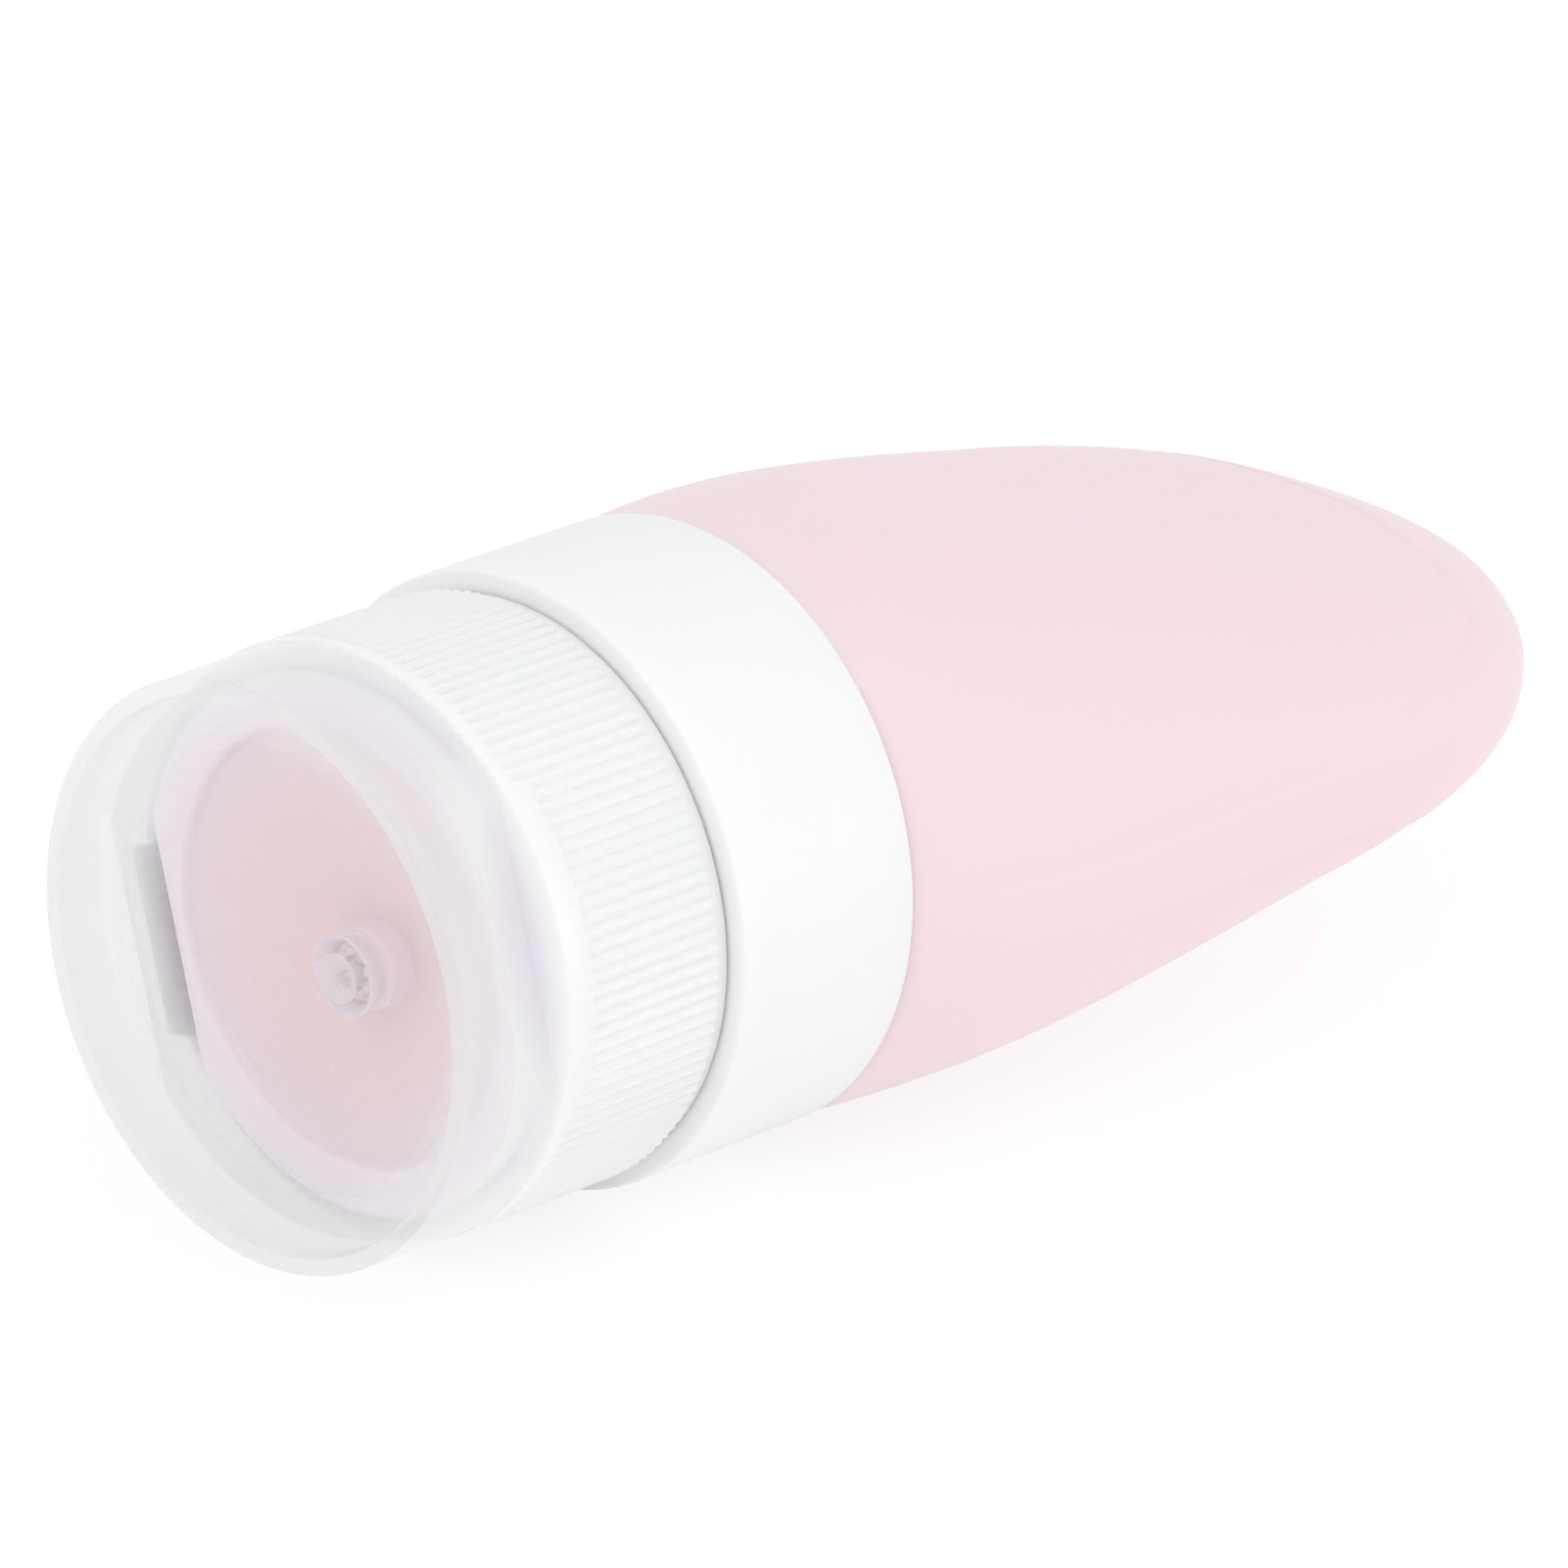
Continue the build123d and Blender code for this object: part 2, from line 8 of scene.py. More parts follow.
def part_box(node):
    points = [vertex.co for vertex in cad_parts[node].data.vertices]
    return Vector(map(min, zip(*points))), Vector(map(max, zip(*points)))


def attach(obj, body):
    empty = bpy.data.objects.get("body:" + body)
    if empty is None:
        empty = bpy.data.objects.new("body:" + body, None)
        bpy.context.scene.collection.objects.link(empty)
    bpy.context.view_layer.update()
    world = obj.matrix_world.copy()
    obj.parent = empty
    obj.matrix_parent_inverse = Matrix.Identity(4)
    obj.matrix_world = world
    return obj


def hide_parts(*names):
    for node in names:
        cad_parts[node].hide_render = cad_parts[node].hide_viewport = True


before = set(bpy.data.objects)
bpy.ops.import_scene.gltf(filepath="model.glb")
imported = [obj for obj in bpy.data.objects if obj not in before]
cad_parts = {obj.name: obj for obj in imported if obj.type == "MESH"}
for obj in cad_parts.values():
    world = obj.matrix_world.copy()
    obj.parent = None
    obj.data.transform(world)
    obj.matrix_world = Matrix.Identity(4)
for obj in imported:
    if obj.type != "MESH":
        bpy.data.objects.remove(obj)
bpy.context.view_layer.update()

# Sizes are in millimetres and become metres as points are placed
MM = 0.001

# The bottle's axis and the plane of the rim it stands on, read from the parts in model.glb
neck_low, neck_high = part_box("neck_insert")
collar_low, collar_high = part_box("collar_ring")
rim_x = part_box("flip_lid")[0].x
tail_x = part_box("silicone_body")[1].x
axis_z = (neck_low.z + neck_high.z) / 2
length = (tail_x - rim_x) / MM

# How far the cap, with its lid and hinge, is turned on the neck
cap_clock = math.radians(-22)

# Lid
lid_rim_radius = 20.0
lid_skirt_radius = 20.15
lid_height = 8.8
lid_wall = 1.25
rim_recess_depth = 3.2
plate_thickness = 1.0
dish_round = 2.0
edge_softness = 0.25
scoop_height = 4.8
scoop_depth = 2.8
scoop_hollow = 0.45
hinge_station = 8.7
hinge_offset = 18.8
hinge_recess_depth = 2.5
hinge_recess_height = 4.0
knuckle_radius = 1.0
base_knuckle_width = 6.2
lid_knuckle_width = 3.1
knuckle_gap = 0.2
pin_bore_radius = 0.65
seat_clearance = 0.35
knuckle_round = 0.15
arm_round = 0.12
arm_root = 0.9
lid_foot_round = 0.12

# A side of the lid or cap counts as its front, with the thumb notch, or as its back, with the
# hinge, where the cosine of its angle to that direction is above this limit
facing_limit = 0.3

# Screw cap
base_start = 9.0
base_end = 22.4
band_radius = 20.3
band_height = 0.9
ledge_height = 2.1
ledge_arc = math.radians(62)
rib_count = 130
rib_depth = 0.26
rib_crest_round = 0.12
base_bore_radius = 18.5
deck_radius = 18.3
deck_top = 7.4
well_radius = 14.7
well_floor = 8.4
deck_roof = 9.8
deck_flat_gap = 0.35
gasket_seat = 11.0
gasket_seat_radius = 13.5
boss_outer_radius = 7.7
boss_inner_radius = 6.6
boss_end = 12.5
boss_root = 0.4
web_round = 0.08

# The cap's soft edge towards the lid and its soft foot, as steps along and inwards
band_edge = ((0, 0.25), (0.03, 0.1), (0.09, 0))
cap_foot_edge = ((-0.05, 0.06), (0, 0.2))

# Thread inside the cap
thread_pitch = 4.0
thread_height = 1.15
thread_root_width = 1.5
thread_crest_width = 0.7
cap_thread_start = 16.6
cap_thread_turns = 1.1

# Outlet, with its place beside the axis, and the plug that stands in it
outlet_place = (-3.35, -1.13)
outlet_top = 4.75
outlet_bore_radius = 1.2
outlet_hub_radius = 2.95
outlet_hub_height = 1.85
outlet_neck_radius = 2.3
outlet_neck_height = 0.6
outlet_lip_radius = 2.86
outlet_lip_wall = 0.22
outlet_cup_depth = 1.5
crown_radius = 1.75
crown_depth = 0.28
crown_tooth_count = 8
crown_start = 5.5
crown_notch_depth = 0.36
plug_pin_radius = 0.9
plug_pin_end = 6.95
plug_foot_radius = 1.7
plug_foot_height = 0.35

# Collar
collar_start = (collar_low.x - rim_x) / MM
collar_end = (collar_high.x - rim_x) / MM
collar_start_radius = 21.2
collar_end_radius = 21.25
collar_bore_radius = 19.55
collar_lip_height = 1.2
collar_lip_bore_radius = 17.9

# Silicone body, with its sleeve under the collar
body_start = 39.4
body_mouth_radius = 21.0
sleeve_radius = 19.45
sleeve_start = 25.05
sleeve_bore_radius = 16.98

# The body seen from above: half widths at shares of its length, closed by an arch at the tail
width_sizes = (21.0, 24.5, 24.3, 25.3, 25.6)
width_shares = (0, 0.25, 0.5, 0.75, 1)
arch_start_share = 0.58
arch_power = 1.88

# The body seen from the side: two straight faces that start wedge_lead beyond the mouth and fall
# by wedge_fall, with a shoulder at the mouth, a further drop at the tail, and a round tail edge
wedge_lead = 1.66
wedge_fall = 18.44
tail_drop = 2.13
shoulder_share = 0.26
tail_start_share = 0.75
tail_edge_round = 3.0

# The body's section: round at the mouth and fuller further on, with its crown cut flat
round_power = 2.0
full_power = 2.3
full_section_share = 0.5
face_crown = 0.06
face_softness = 0.4

# The body's hollow
body_wall = 3.0
tail_wall = 5.5
body_length = length - body_start

# The skin's soft edge at the collar, as steps along and inwards, and the last row before the tail
mouth_edge = ((0, 0.25), (0.08, 0.07))
last_row_share = 0.9999
cavity_tip = 0.02

# How finely the round shapes are cut
body_steps = 480
body_rows = 150
cavity_rows = 24
lid_steps = 720
collar_steps = 256
boss_steps = 96
outlet_steps = 128
crown_steps = 160
plug_steps = 64
knuckle_steps = 48
steps_per_rib = 8
thread_steps_per_turn = 96

# The raised band around the body's edge: its height, the width of its slope in degrees around the
# body, the share of the body's length in which it rises, and how far it reaches up from the
# mid-plane, in degrees, at shares of the body's length
band_lift = 0.14
band_slope = 1.8
band_start_share = 0.125
band_shares = (0, 0.27, 0.38, 0.49, 0.58, 0.63, 0.71, 0.79, 0.83, 0.86, 0.89, 1)
band_angles = (6.0, 7.5, 9.0, 10.0, 13.0, 22.0, 30.0, 37.0, 48.0, 72.0, 95.0, 110.0)

# Sizes that follow from the ones above
lid_bore_radius = lid_rim_radius - lid_wall
plate_end = rim_recess_depth + plate_thickness
recess_face = lid_skirt_radius - hinge_recess_depth
rear_wall_face = recess_face - lid_wall
scoop_slope = scoop_depth / scoop_height
scoop_top = lid_height - scoop_height
front_wall_foot = lid_skirt_radius - scoop_depth - lid_wall
pin_length = base_knuckle_width + 2 * (knuckle_gap + lid_knuckle_width)
seat_radius = knuckle_radius + seat_clearance


def place(station, x, y, clock=0.0):
    """A point of the bottle's own axes as a point of the scene, turned with the cap by clock."""
    across = x * math.cos(clock) - y * math.sin(clock)
    up = x * math.sin(clock) + y * math.cos(clock)
    return Vector((rim_x + station * MM, across * MM, axis_z + up * MM))


def bridge(mesh, pairs):
    """Faces between pairs of neighbouring rows; a row of one vertex is a pole."""
    for low, high in pairs:
        count = max(len(low), len(high))
        for index in range(count):
            after = (index + 1) % count
            if len(low) == 1:
                mesh.faces.new((low[0], high[index], high[after]))
            elif len(high) == 1:
                mesh.faces.new((low[index], high[0], low[after]))
            else:
                mesh.faces.new((low[index], high[index], high[after], low[after]))


def finished(name, mesh, sharp):
    """The mesh as an object of the scene, shaded smooth apart from edges above a sharp angle."""
    data = bpy.data.meshes.new(name)
    mesh.to_mesh(data)
    mesh.free()
    data.polygons.foreach_set("use_smooth", [True] * len(data.polygons))
    data.set_sharp_from_angle(angle=math.radians(sharp))
    obj = bpy.data.objects.new(name, data)
    bpy.context.scene.collection.objects.link(obj)
    return obj


def grid_mesh(name, rows, joined_ends=False, sharp=30):
    """A closed mesh through rows of points; a row of one point is a pole."""
    mesh = bmesh.new()
    vert_rows = [[mesh.verts.new(point) for point in row] for row in rows]
    pairs = list(zip(vert_rows, vert_rows[1:]))
    if joined_ends:
        pairs.append((vert_rows[-1], vert_rows[0]))
    bridge(mesh, pairs)
    if not joined_ends:
        for row in (vert_rows[0], vert_rows[-1]):
            if len(row) > 2:
                mesh.faces.new(row)
    bmesh.ops.recalc_face_normals(mesh, faces=mesh.faces)
    return finished(name, mesh, sharp)


def shell_mesh(name, outer, inner, sharp):
    """A hollow piece: the outer rows run from the mouth to a pole, the inner rows back again."""
    mesh = bmesh.new()
    vert_rows = [[mesh.verts.new(point) for point in row] for row in outer + inner]
    split = len(outer)
    pairs = list(zip(vert_rows[:split], vert_rows[1:split]))
    pairs += list(zip(vert_rows[split:], vert_rows[split + 1:]))
    pairs.append((vert_rows[-1], vert_rows[0]))
    bridge(mesh, pairs)
    bmesh.ops.recalc_face_normals(mesh, faces=mesh.faces)
    return finished(name, mesh, sharp)


def rounded(corners, steps=4):
    """The points of an outline of (station, radius, rounding) corners, each softly turned."""
    points = []
    for index, (station, radius, rounding) in enumerate(corners):
        here = Vector((station, radius))
        if not rounding:
            points.append(here)
            continue
        before = Vector(corners[index - 1][:2])
        after = Vector(corners[(index + 1) % len(corners)][:2])
        start = here + (before - here).normalized() * rounding
        end = here + (after - here).normalized() * rounding
        for step in range(steps + 1):
            t = step / steps
            points.append(start * (1 - t) ** 2 + here * 2 * t * (1 - t) + end * t ** 2)
    return points


def turned(name, outline_at, steps, clock=0.0, centre=(0, 0), joined_ends=False, sharp=30):
    """A piece turned about the axis or a centre beside it, whose outline may vary by angle."""
    columns = []
    for index in range(steps):
        angle = 2 * math.pi * index / steps
        columns.append((angle, outline_at(angle)))
    rows = []
    for level in range(len(columns[0][1])):
        points = []
        for angle, outline in columns:
            station, radius = outline[level]
            x = centre[0] + radius * math.cos(angle)
            y = centre[1] + radius * math.sin(angle)
            points.append(place(station, x, y, clock))
        at_pole = all(outline[level][1] == 0 for _, outline in columns)
        rows.append(points[:1] if at_pole else points)
    return grid_mesh(name, rows, joined_ends, sharp)


def knuckle(name, low_y, high_y):
    """A round knuckle on the hinge line with softened ends and a bore for the pin."""
    end_radius = knuckle_radius - knuckle_round
    outline = [(low_y, pin_bore_radius), (low_y, end_radius),
               (low_y + knuckle_round, knuckle_radius),
               (high_y - knuckle_round, knuckle_radius),
               (high_y, end_radius), (high_y, pin_bore_radius)]
    rows = []
    for y, size in outline:
        ring = []
        for index in range(knuckle_steps):
            angle = 2 * math.pi * index / knuckle_steps
            station = hinge_station + size * math.cos(angle)
            x = hinge_offset + size * math.sin(angle)
            ring.append(place(station, x, y, cap_clock))
        rows.append(ring)
    return grid_mesh(name, rows, joined_ends=True)


def slab(name, x_range, y_range, station_range, rounding):
    """A block with rounded edges, set by its corners in the cap's own axes."""
    mesh = bmesh.new()
    corners = [mesh.verts.new(place(station, x, y, cap_clock))
               for station in station_range for y in y_range for x in x_range]
    for face in ((0, 1, 3, 2), (4, 6, 7, 5), (0, 4, 5, 1),
                 (2, 3, 7, 6), (0, 2, 6, 4), (1, 5, 7, 3)):
        mesh.faces.new([corners[index] for index in face])
    bmesh.ops.recalc_face_normals(mesh, faces=mesh.faces)
    bmesh.ops.bevel(mesh, geom=mesh.edges[:], offset=rounding * MM, segments=3, affect="EDGES")
    return finished(name, mesh, sharp=40)


def through(shares, sizes, share):
    """The smooth curve through the given sizes, read at one share of the way."""
    total = 0.0
    for index, size in enumerate(sizes):
        weight = 1.0
        for other, other_share in enumerate(shares):
            if other != index:
                weight *= (share - other_share) / (shares[index] - other_share)
        total += weight * size
    return total


def lower_of(first, second, softness):
    """The lower of two values, with a soft change from one to the other."""
    share = max(0.0, min(1.0, 0.5 + (second - first) / (2 * softness)))
    return second + (first - second) * share - softness * share * (1 - share)


def between(places, values, place):
    """The value at a place on the straight lines through the given values."""
    for low, high, start, end in zip(places, places[1:], values, values[1:]):
        if place <= high:
            return start + (end - start) * (place - low) / (high - low)
    return values[-1]


def face_line(share):
    """How far a flat face lies from the axis at a share of the body's length."""
    return body_mouth_radius + wedge_lead - wedge_fall * share


def body_half_sizes(share):
    """The body's outer half width and half thickness at a share of its length."""
    half_width = through(width_shares, width_sizes, share)
    if share > arch_start_share:
        arch = (share - arch_start_share) / (1 - arch_start_share)
        half_width *= max(0.0, 1 - arch ** arch_power) ** (1 / arch_power)
    half_thickness = face_line(share) - wedge_lead * max(0.0, 1 - share / shoulder_share) ** 2
    past_flat = max(0.0, share - tail_start_share) / (1 - tail_start_share)
    half_thickness -= tail_drop * past_flat ** 2
    from_tail = (1 - share) * body_length / tail_edge_round
    if from_tail < 1:
        half_thickness *= math.sqrt(1 - (1 - from_tail) ** 2)
    return half_width, half_thickness


def body_angles():
    """Even angles around the body."""
    return [2 * math.pi * index / body_steps for index in range(body_steps)]


def body_ring(share, inset=0.0):
    """One ring of points around the body: the skin with its flat faces and raised edge band, or,
    with an inset, the cavity's wall."""
    half_width, half_thickness = body_half_sizes(share)
    fullness = min(1, share / full_section_share)
    fullness *= fullness * (3 - 2 * fullness)
    power = round_power + (full_power - round_power) * fullness
    if not inset:
        half_thickness *= 1 + face_crown * fullness
    band_reach = between(band_shares, band_angles, share)
    station = body_start + share * body_length
    points = []
    for angle in body_angles():
        x, y = math.cos(angle), math.sin(angle)
        swell = (abs(x) ** power + abs(y) ** power) ** (-1 / power)
        wide = (half_width - inset) * swell * x
        thick = (half_thickness - inset) * swell * y
        if not inset:
            thick = math.copysign(lower_of(abs(thick), face_line(share), face_softness), thick)
            above = math.degrees(math.atan2(abs(y), abs(x)))
            lift = max(0.0, min(1.0, 0.5 + (band_reach - above) / band_slope))
            lift *= band_lift * lift * (3 - 2 * lift) * min(1.0, share / band_start_share)
            normal = Vector((math.copysign(abs(swell * x) ** (power - 1), x) * half_thickness,
                             math.copysign(abs(swell * y) ** (power - 1), y) * half_width))
            if normal.length:
                normal.normalize()
            wide += normal.x * lift
            thick += normal.y * lift
        points.append(place(station, wide, thick))
    return points


def round_ring(station, radius):
    """One round ring of points with the body's own angles."""
    return [place(station, radius * math.cos(angle), radius * math.sin(angle))
            for angle in body_angles()]


def eased_shares(count, last):
    """Shares from 0 to last, closer together towards the tail."""
    return [last * math.sin(math.pi / 2 * index / count) for index in range(count + 1)]


def make_body():
    """The silicone body: sleeve under the collar, outer skin, and the cavity inside."""
    outer = [
        round_ring(sleeve_start, sleeve_bore_radius),
        round_ring(sleeve_start, sleeve_radius),
        round_ring(body_start, sleeve_radius),
    ]
    for along, inwards in mouth_edge:
        outer.append(round_ring(body_start + along, body_mouth_radius - inwards))
    outer += [body_ring(share) for share in eased_shares(body_rows, last_row_share)[1:]]
    outer.append([place(length, 0, 0)])
    cavity_share = (body_length - tail_wall) / body_length
    inner = [[place(body_start + cavity_share * body_length + cavity_tip, 0, 0)]]
    for share in reversed(eased_shares(cavity_rows, 1)[1:]):
        inner.append(body_ring(share * cavity_share, body_wall))
    inner.append(round_ring(body_start + body_wall, sleeve_bore_radius))
    return shell_mesh("bottle_skin", outer, inner, sharp=50)


def make_collar():
    """The white collar with softened rims and its inner lip."""
    lip_end = collar_start + collar_lip_height
    outline = rounded([
        (collar_start, collar_lip_bore_radius, 0.15),
        (collar_start, collar_start_radius, 0.35),
        (collar_end, collar_end_radius, 0.3),
        (collar_end, collar_bore_radius, 0.1),
        (lip_end, collar_bore_radius, 0.1),
        (lip_end, collar_lip_bore_radius, 0.1),
    ])
    return turned("collar", lambda angle: outline, collar_steps, joined_ends=True, sharp=50)


def skirt_radius(station):
    """The lid's outer radius, which grows slightly towards the cap."""
    return lid_rim_radius + (lid_skirt_radius - lid_rim_radius) * station / lid_height


def scoop_line(station):
    """How far from the axis the thumb scoop's face lies at a station, hollowed at its middle."""
    share = min(1.0, max(0.0, (station - scoop_top) / scoop_height))
    hollow = scoop_hollow * 4 * share * (1 - share)
    return lid_skirt_radius - (station - scoop_top) * scoop_slope - hollow


def lid_outer_radius(station, angle):
    """The lid's outer radius at a station and angle, with the scoop and the hinge recess cut."""
    radius = skirt_radius(station)
    front = -math.cos(angle)
    if front > facing_limit and station > scoop_top - 1:
        radius = lower_of(radius, scoop_line(station) / front, edge_softness)
    if -front > facing_limit and station > lid_height - hinge_recess_height:
        radius = min(radius, recess_face / -front)
    return radius


def lid_inner_radius(station, angle):
    """The lid's inner radius below the plate, with the flat walls in front and behind."""
    radius = lid_bore_radius
    front = -math.cos(angle)
    if front > facing_limit:
        wall = front_wall_foot + (lid_height - station) * scoop_slope
        radius = lower_of(radius, wall / front, edge_softness)
    if -front > facing_limit:
        radius = min(radius, rear_wall_face / -front)
    return radius


def lid_outline(angle):
    """One half section of the lid: recess, rim, outer wall, foot, inner wall and plate."""
    # Rows lie close together where the scoop and the hinge recess are cut
    recess_end = lid_height - hinge_recess_height
    level_step = 0.15
    levels = [0.5, 1.0, 1.6, 2.2, 2.8, 3.2]
    levels += [3.4 + level_step * step for step in range(9)]
    levels += [recess_end - 0.05, recess_end + 0.05]
    levels += [recess_end + level_step + level_step * step for step in range(25)]
    top = rounded([
        (rim_recess_depth, lid_bore_radius - dish_round - 0.5, 0),
        (rim_recess_depth, lid_bore_radius, dish_round),
        (0, lid_bore_radius + 0.05, 0.22),
        (0, lid_rim_radius, 0.3),
        (0.4, lid_outer_radius(0.4, angle), 0),
    ], 8)
    points = [Vector((rim_recess_depth, radius)) for radius in (0, 6.0, 12.0)] + top
    points += [Vector((level, lid_outer_radius(level, angle))) for level in levels]
    foot_out = lid_outer_radius(lid_height, angle)
    foot_in = lid_inner_radius(lid_height, angle)
    points.append(Vector((lid_height, foot_out - lid_foot_round)))
    points.append(Vector((lid_height, foot_in + lid_foot_round)))
    inner_levels = (lid_height - lid_foot_round, 8.0, 7.0, 6.0, 5.0, plate_end + 0.25)
    for level in inner_levels:
        points.append(Vector((level, lid_inner_radius(level, angle))))
    edge = lid_inner_radius(plate_end, angle)
    points.append(Vector((plate_end + 0.06, edge - 0.06)))
    points.append(Vector((plate_end, edge - 0.25)))
    points.append(Vector((plate_end, 8.0)))
    points.append(Vector((plate_end, 0)))
    return points


def make_lid():
    """The clear lid and its two hinge knuckles with their arms."""
    shell = turned("lid_shell", lid_outline, lid_steps, clock=cap_clock, sharp=28)
    made = [shell]
    arm_reach = (rear_wall_face + arm_root, hinge_offset - pin_bore_radius - 0.02)
    arm_stations = (hinge_station - knuckle_radius, hinge_station - 0.05)
    for side, tag in ((-1, "left"), (1, "right")):
        outer_end = side * pin_length / 2
        inner_end = side * (pin_length / 2 - lid_knuckle_width)
        ends = sorted((outer_end, inner_end))
        made.append(knuckle(f"lid_knuckle_{tag}", *ends))
        made.append(slab(f"lid_arm_{tag}", arm_reach, ends, arm_stations, arm_round))
    return made


def rib_radius(angle):
    """The cap's outer radius on the ribbed band: fine ribs with slightly rounded crests."""
    phase = (angle * rib_count / (2 * math.pi)) % 1.0
    height = abs(2 * phase - 1)
    height += rib_crest_round * math.sin(2 * math.pi * height)
    return band_radius - rib_depth * (1 - max(0.0, min(1.0, height)))


def base_outline(angle):
    """One half section of the screw cap, with the flats of the deck and the hinge's seat."""
    front = -math.cos(angle)
    raise_radius = deck_radius
    if front > facing_limit:
        raise_radius = min(raise_radius, (front_wall_foot - deck_flat_gap) / front)
    if -front > facing_limit:
        raise_radius = min(raise_radius, (rear_wall_face - deck_flat_gap) / -front)
    beside_middle = abs(band_radius * math.sin(angle))
    in_seat = -front > facing_limit and beside_middle < pin_length / 2 + seat_clearance
    seat_top = hinge_station + seat_radius

    # Between deck and band lies a flat shoulder, or the round seat in which the knuckles turn
    shoulder = []
    last_step = 6
    for step in range(last_step + 1):
        if in_seat:
            x = hinge_offset - seat_radius + seat_radius * step / last_step
            depth = math.sqrt(max(0.0, seat_radius ** 2 - (x - hinge_offset) ** 2))
            radius = min(x / -front, band_radius - 0.1 - 0.1 * (last_step - step))
            station = max(base_start, hinge_station + depth)
        else:
            start, end = raise_radius + 0.3, band_radius - 0.4
            radius = start + (end - start) * step / last_step
            station = base_start
        shoulder.append(Vector((station, radius)))

    band_start = seat_top if in_seat else base_start
    band_end = base_start + band_height
    if front > math.cos(ledge_arc / 2):
        band_end = base_start + ledge_height
    band_end = max(band_end, band_start + 0.1)
    points = [Vector((well_floor, radius)) for radius in (0, 4.0, 9.0)]
    points += rounded([
        (well_floor, 12.5, 0),
        (well_floor, well_radius, 0.5),
        (deck_top, well_radius + 0.3, 0.5),
        (deck_top, raise_radius, 0.3),
        (base_start, raise_radius, 0.15),
    ])[1:]
    points += shoulder
    for along, inwards in band_edge:
        points.append(Vector((band_start + along, band_radius - inwards)))
    points.append(Vector((band_end, band_radius)))
    ribs = rib_radius(angle)
    for station in (band_end + 0.25, 12.5, 15.0, 17.5, 20.0, base_end - 0.3):
        points.append(Vector((station, ribs)))
    for along, inwards in cap_foot_edge:
        points.append(Vector((base_end + along, ribs - inwards)))
    points += rounded([
        (base_end, base_bore_radius + 0.3, 0),
        (base_end, base_bore_radius, 0.2),
        (gasket_seat, base_bore_radius, 0.2),
        (gasket_seat, gasket_seat_radius, 0.1),
        (deck_roof, gasket_seat_radius, 0.2),
        (deck_roof, 9.0, 0),
        (deck_roof, 0, 0),
    ])
    return points


def make_thread():
    """The thread ridge inside the cap."""
    rows = []
    steps = int(thread_steps_per_turn * cap_thread_turns)
    fade_steps = 6
    half_root = thread_root_width / 2
    half_crest = thread_crest_width / 2
    wall = base_bore_radius + 0.25
    for index in range(steps + 1):
        angle = 2 * math.pi * cap_thread_turns * index / steps
        across, up = math.cos(angle), math.sin(angle)
        fade = min(1.0, index / fade_steps, (steps - index) / fade_steps)
        station = cap_thread_start + thread_pitch * cap_thread_turns * index / steps
        crest = base_bore_radius - thread_height * max(0.1, fade)
        corners = ((wall, -half_root), (crest, -half_crest), (crest, half_crest), (wall, half_root))
        rows.append([place(station + along, radius * across, radius * up, cap_clock)
                     for radius, along in corners])
    return grid_mesh("cap_thread", rows)


def make_base():
    """The screw cap: shell with ribs, valve boss, thread, and the hinge's middle knuckle."""
    shell = turned("cap_shell", base_outline, rib_count * steps_per_rib, clock=cap_clock,
                   sharp=35)
    boss_outline = rounded([
        (deck_roof - boss_root, boss_inner_radius, 0),
        (deck_roof - boss_root, boss_outer_radius, 0),
        (boss_end, boss_outer_radius, 0.2),
        (boss_end, boss_inner_radius, 0.15),
    ])
    boss = turned("valve_boss", lambda angle: boss_outline, boss_steps, clock=cap_clock,
                  centre=outlet_place, joined_ends=True)
    half = base_knuckle_width / 2
    middle_knuckle = knuckle("base_knuckle", -half, half)
    web_reach = (hinge_offset - knuckle_radius, hinge_offset + knuckle_radius)
    web_stations = (hinge_station, hinge_station + seat_radius + seat_clearance)
    web = slab("knuckle_web", web_reach, (-half, half), web_stations, web_round)
    return [shell, boss, make_thread(), middle_knuckle, web]


def make_outlet():
    """The clear outlet: hub, neck, and the thin flared lip around its cup."""
    hub_end = well_floor - outlet_hub_height
    neck_end = hub_end - outlet_neck_height
    cup_floor = outlet_top + outlet_cup_depth
    outline = rounded([
        (deck_roof, outlet_bore_radius, 0),
        (deck_roof, outlet_neck_radius - 0.12, 0),
        (well_floor - 0.02, outlet_neck_radius - 0.12, 0),
        (well_floor - 0.02, outlet_hub_radius, 0.06),
        (hub_end, outlet_hub_radius - 0.05, 0.3),
        (hub_end, outlet_neck_radius, 0.15),
        (neck_end, outlet_neck_radius, 0.3),
        (outlet_top, outlet_lip_radius, 0.06),
        (outlet_top, outlet_lip_radius - outlet_lip_wall, 0.06),
        (neck_end, outlet_neck_radius - outlet_lip_wall, 0.2),
        (cup_floor, outlet_neck_radius - outlet_lip_wall, 0.2),
        (cup_floor, outlet_bore_radius, 0.1),
    ])
    return turned("outlet", lambda angle: outline, outlet_steps, clock=cap_clock,
                  centre=outlet_place, joined_ends=True, sharp=40)


def make_crown():
    """The toothed ring that stands in the outlet's cup."""
    cup_floor = outlet_top + outlet_cup_depth

    def outline_at(angle):
        wave = math.cos(angle * crown_tooth_count)
        outer = crown_radius + crown_depth * wave / 2
        top = crown_start + crown_notch_depth * (1 - wave) / 2
        return rounded([
            (cup_floor + 0.1, outlet_bore_radius, 0),
            (cup_floor + 0.1, outer, 0),
            (top, outer - 0.1, 0.12),
            (top, outlet_bore_radius, 0.12),
        ])

    return turned("outlet_crown", outline_at, crown_steps, clock=cap_clock,
                  centre=outlet_place, joined_ends=True, sharp=40)


